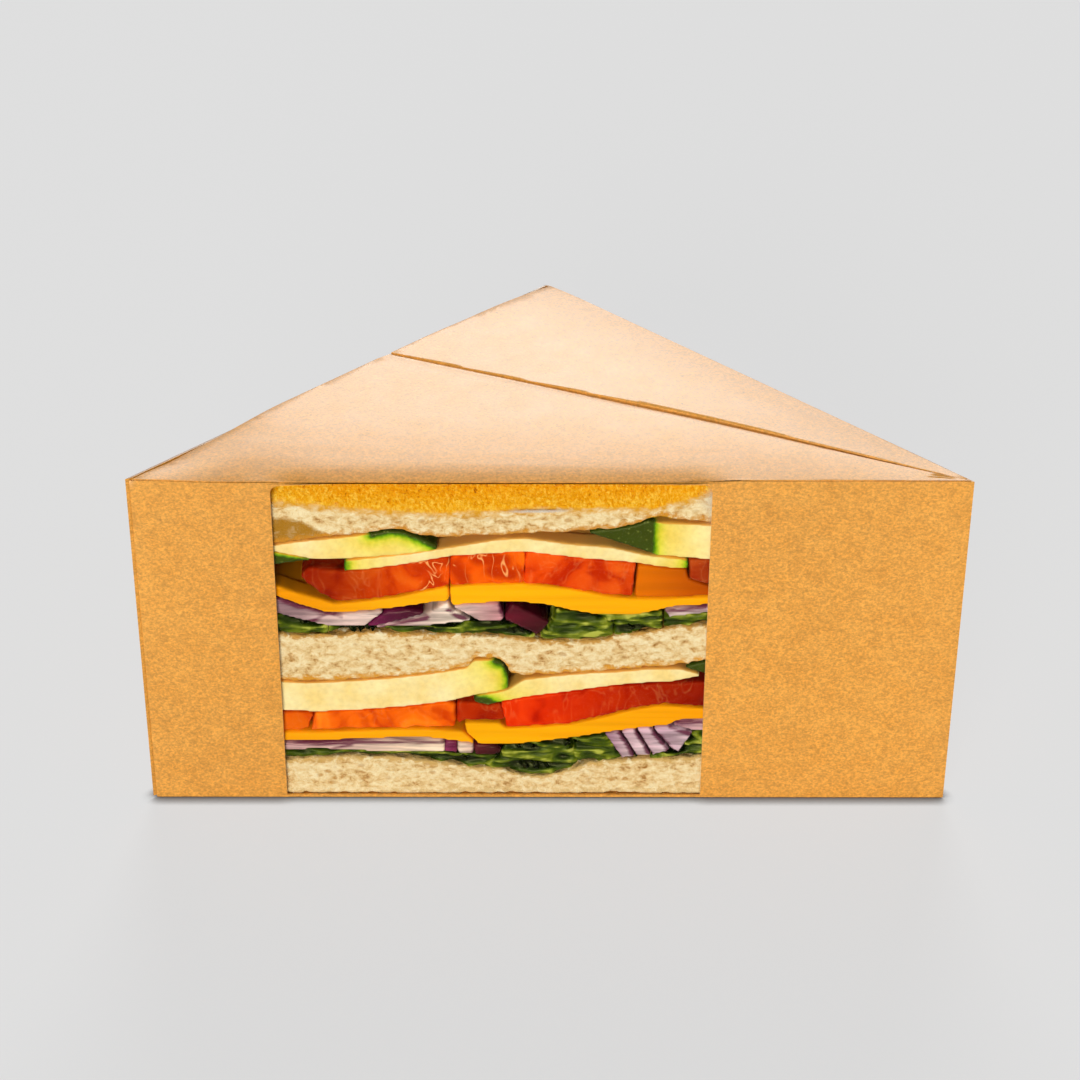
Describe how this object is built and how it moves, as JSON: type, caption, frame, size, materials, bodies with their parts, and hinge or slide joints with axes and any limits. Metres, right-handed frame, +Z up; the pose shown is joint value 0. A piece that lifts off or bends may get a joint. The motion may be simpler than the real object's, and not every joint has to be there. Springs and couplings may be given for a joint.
{
  "type": "sandwich wedge box",
  "caption": "Folded kraft board sandwich wedge carton with a film window, a hinged side lid with a tuck tab, and a filled sandwich inside.",
  "frame": {"origin": "middle of the base of the bounding box", "axes": "+X along the windowed front to the right, +Y from the window to the back corner, +Z up"},
  "size_m": [0.174, 0.087, 0.0836],
  "materials": {
    "kraft_board": "matte",
    "clear_film": "gloss",
    "toasted_bread": "matte",
    "bread_crumb": "matte",
    "courgette": "satin",
    "tomato": "gloss",
    "cheese": "satin",
    "onion_flesh": "gloss",
    "onion_skin": "gloss",
    "spinach": "satin"
  },
  "bodies": {
    "root": {"bread_bottom": "bread_crumb", "bread_middle": "bread_crumb", "bread_top": "toasted_bread", "carton": "kraft_board", "cheese_lower_left": "cheese", "cheese_lower_right": "cheese", "cheese_upper_fold": "cheese", "cheese_upper_left": "cheese", "cheese_upper_right": "cheese", "courgette_lower_far": "courgette", "courgette_lower_left": "courgette", "courgette_lower_right": "courgette", "courgette_upper_back": "courgette", "courgette_upper_left": "courgette", "courgette_upper_long": "courgette", "courgette_upper_right": "courgette", "onion_lower_1": "onion_flesh", "onion_lower_2": "onion_skin", "onion_lower_3": "onion_flesh", "onion_lower_4": "onion_skin", "onion_lower_5": "onion_flesh", "onion_lower_6": "onion_flesh", "onion_lower_7": "onion_flesh", "onion_lower_8": "onion_flesh", "onion_lower_9": "onion_flesh", "onion_upper_1": "onion_flesh", "onion_upper_2": "onion_skin", "onion_upper_3": "onion_flesh", "onion_upper_4": "onion_flesh", "onion_upper_5": "onion_skin", "onion_upper_6": "onion_flesh", "spinach_lower_far": "spinach", "spinach_lower_left": "spinach", "spinach_lower_middle": "spinach", "spinach_lower_right": "spinach", "spinach_upper_far": "spinach", "spinach_upper_fold": "spinach", "spinach_upper_left": "spinach", "spinach_upper_middle": "spinach", "spinach_upper_right": "spinach", "tomato_lower_back": "tomato", "tomato_lower_left": "tomato", "tomato_lower_middle": "tomato", "tomato_lower_right": "tomato", "tomato_upper_far": "tomato", "tomato_upper_left": "tomato", "tomato_upper_middle": "tomato", "tomato_upper_right": "tomato", "window_film": "clear_film"},
    "lid": {"lid": "kraft_board"}
  },
  "joints": [
    {"name": "lid_hinge", "type": "hinge", "parent": "root", "child": "lid", "pos_m": [-0.087, -0.0435, 0], "axis": [0, 0, 1], "range_deg": [0, 150]}
  ]
}
